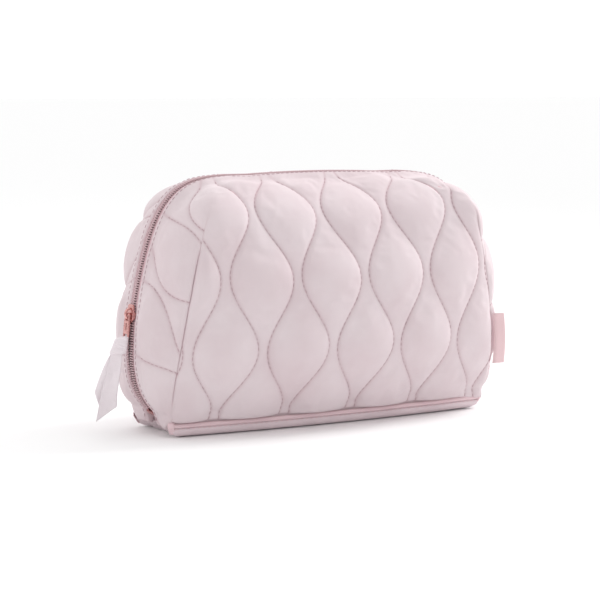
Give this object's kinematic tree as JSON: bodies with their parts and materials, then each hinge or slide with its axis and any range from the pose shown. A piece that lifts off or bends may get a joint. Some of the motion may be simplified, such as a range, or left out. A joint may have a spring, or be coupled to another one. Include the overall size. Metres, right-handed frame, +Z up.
{
  "type": "quilted makeup bag",
  "caption": "Padded, wave-quilted pink makeup bag with a zip over its top, a ribbon tied to the pull and a flat piped base.",
  "frame": {"origin": "middle of the base, on the plane the bag rests on", "axes": "+Z up, +X along the bag to the end with the tag, -Y the front; the zip lies in the plane Y = 0"},
  "size_m": [0.262, 0.1092, 0.15],
  "materials": {
    "quilt_fabric": "smooth matt microfibre with a soft sheen",
    "wadding": "loose polyester wadding",
    "lining": "thin smooth lining",
    "piping": "rolled self fabric",
    "binding": "woven seam binding",
    "zip_tape": "woven zip tape",
    "zip_coil": "nylon coil",
    "rose_metal": "rose-gold plated, glossy",
    "ribbon": "soft grosgrain ribbon",
    "tag": "blank folded woven tag"
  },
  "bodies": {
    "base": {"base_outer": "quilt_fabric", "base_wadding": "wadding", "base_lining": "lining", "base_piping": "piping", "base_binding": "binding", "corner_tab_front_left": "piping", "corner_tab_front_right": "piping", "corner_tab_back_left": "piping", "corner_tab_back_right": "piping", "zip_stop_foot_front": "rose_metal", "zip_stop_foot_back": "rose_metal", "zip_stop_far": "rose_metal"},
    "front_half": {"front_panel": "quilt_fabric", "front_wadding": "wadding", "front_lining": "lining", "side_tag": "tag", "zip_tape_front": "zip_tape", "zip_coil_front": "zip_coil"},
    "back_half": {"back_panel": "quilt_fabric", "back_wadding": "wadding", "back_lining": "lining", "zip_tape_back": "zip_tape", "zip_coil_back": "zip_coil"},
    "slider": {"slider_body": "rose_metal", "slider_crown": "rose_metal"},
    "pull": {"zip_pull": "rose_metal", "ribbon_knot": "ribbon"},
    "ribbon": {"ribbon_tail_long": "ribbon", "ribbon_tail_short": "ribbon"}
  },
  "joints": [
    {"name": "mouth_front", "type": "hinge", "parent": "base", "child": "front_half", "pos_m": [0, -0.0313, 0.0085], "axis": [1, 0, 0], "range_deg": [0, 16], "deforming": ["zip_tape_front", "zip_tape_back", "zip_coil_front", "zip_coil_back"]},
    {"name": "mouth_back", "type": "hinge", "parent": "base", "child": "back_half", "pos_m": [0, 0.0313, 0.0085], "axis": [-1, 0, 0], "range_deg": [0, 16], "deforming": ["zip_tape_front", "zip_tape_back", "zip_coil_front", "zip_coil_back"]},
    {"name": "slider_run", "type": "hinge", "parent": "base", "child": "slider", "pos_m": [0.0992, 0, 0.0398], "axis": [0, 1, 0], "range_deg": [-1.7, 13.5], "deforming": ["zip_tape_front", "zip_tape_back", "zip_coil_front", "zip_coil_back"]},
    {"name": "pull_swing", "type": "hinge", "parent": "slider", "child": "pull", "pos_m": [-0.12208, 0, 0.07052], "axis": [0, 1, 0], "range_deg": [0, 120]},
    {"name": "ribbon_swing", "type": "hinge", "parent": "pull", "child": "ribbon", "pos_m": [-0.128, 0, 0.0469], "axis": [-0.866, 0.5, 0], "range_deg": [0, 50]}
  ],
  "couplings": [
    {"joint": "mouth_back", "follows": "mouth_front", "ratio": 1}
  ]
}
